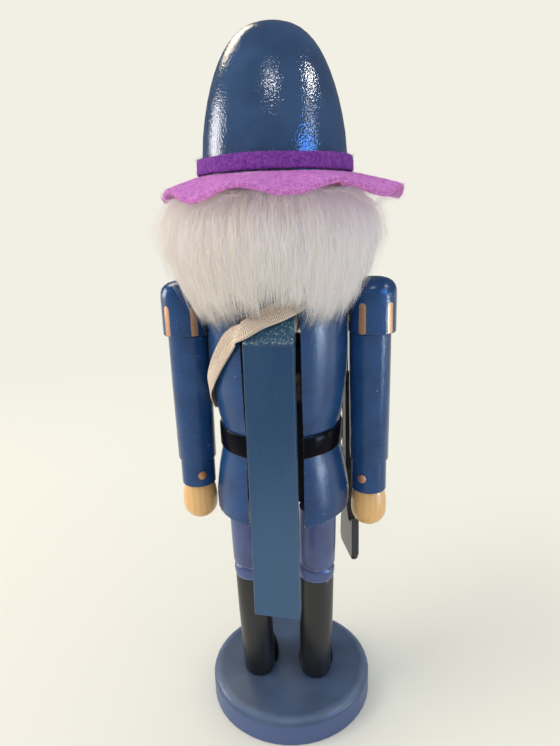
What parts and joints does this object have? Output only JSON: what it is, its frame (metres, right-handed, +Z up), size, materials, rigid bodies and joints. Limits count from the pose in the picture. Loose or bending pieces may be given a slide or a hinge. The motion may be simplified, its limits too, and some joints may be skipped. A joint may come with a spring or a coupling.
{
  "type": "nutcracker figure",
  "caption": "Turned wooden soldier nutcracker in a blue coat and felt-brimmed hat, whose back lever works the jaw; it stands on a round base.",
  "frame": {"origin": "on the base's flat underside, on the axis of the turned torso and head", "axes": "+Z up along the figure's height; the figure faces -Y, so its back lever is at +Y and its left hand at +X"},
  "size_m": [0.1289, 0.1219, 0.3792],
  "materials": {
    "coat_paint": "gloss brushed blue paint on turned wood",
    "lever_paint": "satin slate-blue paint on a sawn board",
    "hat_paint": "high-gloss dark blue paint on turned wood",
    "leg_paint": "satin violet-blue breeches and semi-gloss black boots on turned wood",
    "base_paint": "gloss blue-grey paint on turned wood",
    "black_paint": "gloss black paint on wood",
    "belt_leatherette": "glossy black band",
    "gun_paint": "dark grey paint on a flat board",
    "gun_barrel": "dark metallic paint on a thin dowel",
    "pin_steel": "plain steel wire pin",
    "copper_trim": "copper-coloured domed tacks and buckle",
    "bare_wood": "clear-varnished natural wood",
    "dowel_wood": "raw beech dowel",
    "face_paint": "satin flesh-coloured paint on turned wood",
    "white_fur": "long white imitation fur",
    "purple_felt": "matte purple wool felt with a fuzzy cut edge",
    "ribbed_ribbon": "ribbed beige and gold ribbon"
  },
  "bodies": {
    "figure": {"base_disc": "base_paint", "leg_left": "leg_paint", "leg_right": "leg_paint", "toe_left": "black_paint", "toe_right": "black_paint", "foot_dowel_left": "dowel_wood", "foot_dowel_right": "dowel_wood", "hip_dowel_left": "dowel_wood", "hip_dowel_right": "dowel_wood", "neck_dowel_left": "dowel_wood", "neck_dowel_right": "dowel_wood", "arm_dowel_left": "dowel_wood", "arm_dowel_right": "dowel_wood", "hat_dowel": "dowel_wood", "torso": "coat_paint", "belt": "belt_leatherette", "belt_buckle": "copper_trim", "coat_button_1": "copper_trim", "coat_button_2": "copper_trim", "coat_button_3": "copper_trim", "coat_button_4": "copper_trim", "arm_left": "coat_paint", "arm_right": "coat_paint", "shoulder_cap_left": "coat_paint", "shoulder_cap_right": "coat_paint", "hand_left": "bare_wood", "hand_right": "bare_wood", "cuff_button_left": "copper_trim", "cuff_button_right": "copper_trim", "head": "face_paint", "nose": "face_paint", "hat_dome": "hat_paint", "hat_band": "purple_felt", "hat_brim": "purple_felt", "hair": "white_fur", "moustache": "white_fur", "lever_pin": "pin_steel", "sling": "ribbed_ribbon", "musket_stock": "gun_paint", "musket_barrel": "gun_barrel"},
    "jaw": {"jaw_lever": "lever_paint", "jaw_block": "face_paint", "beard": "white_fur"}
  },
  "joints": [
    {"name": "jaw_hinge", "type": "hinge", "parent": "figure", "child": "jaw", "pos_m": [0, 0, 0.248], "axis": [1, 0, 0], "range_deg": [0, 22], "deforming": ["sling", "beard"]}
  ]
}
